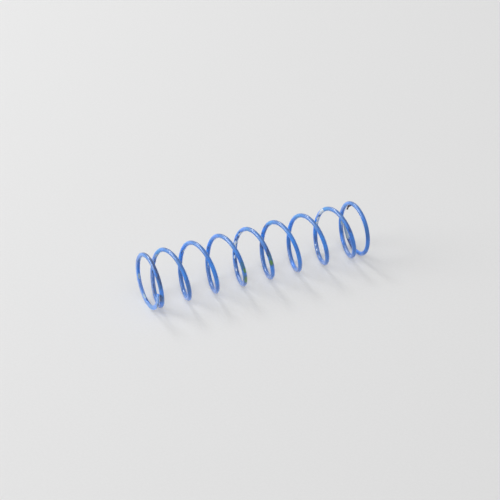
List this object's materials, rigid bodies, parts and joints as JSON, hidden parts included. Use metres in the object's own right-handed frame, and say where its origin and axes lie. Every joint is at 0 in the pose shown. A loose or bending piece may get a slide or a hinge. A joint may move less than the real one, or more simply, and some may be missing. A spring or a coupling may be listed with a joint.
{
  "type": "compression spring",
  "caption": "Right-hand helical compression spring of blue-painted round wire, with closed and ground ends, used to set a pressure regulator.",
  "frame": {"origin": "on the coil's axis, in the plane of the lower ground end", "axes": "+Z along the coil's axis from the lower end to the upper; +X through the lower wire tip"},
  "size_m": [0.0254, 0.0254, 0.1025],
  "materials": {
    "blue_paint": "glossy paint, worn and scuffed in places"
  },
  "bodies": {
    "root": {"adjustment_spring": "blue_paint"}
  },
  "joints": []
}
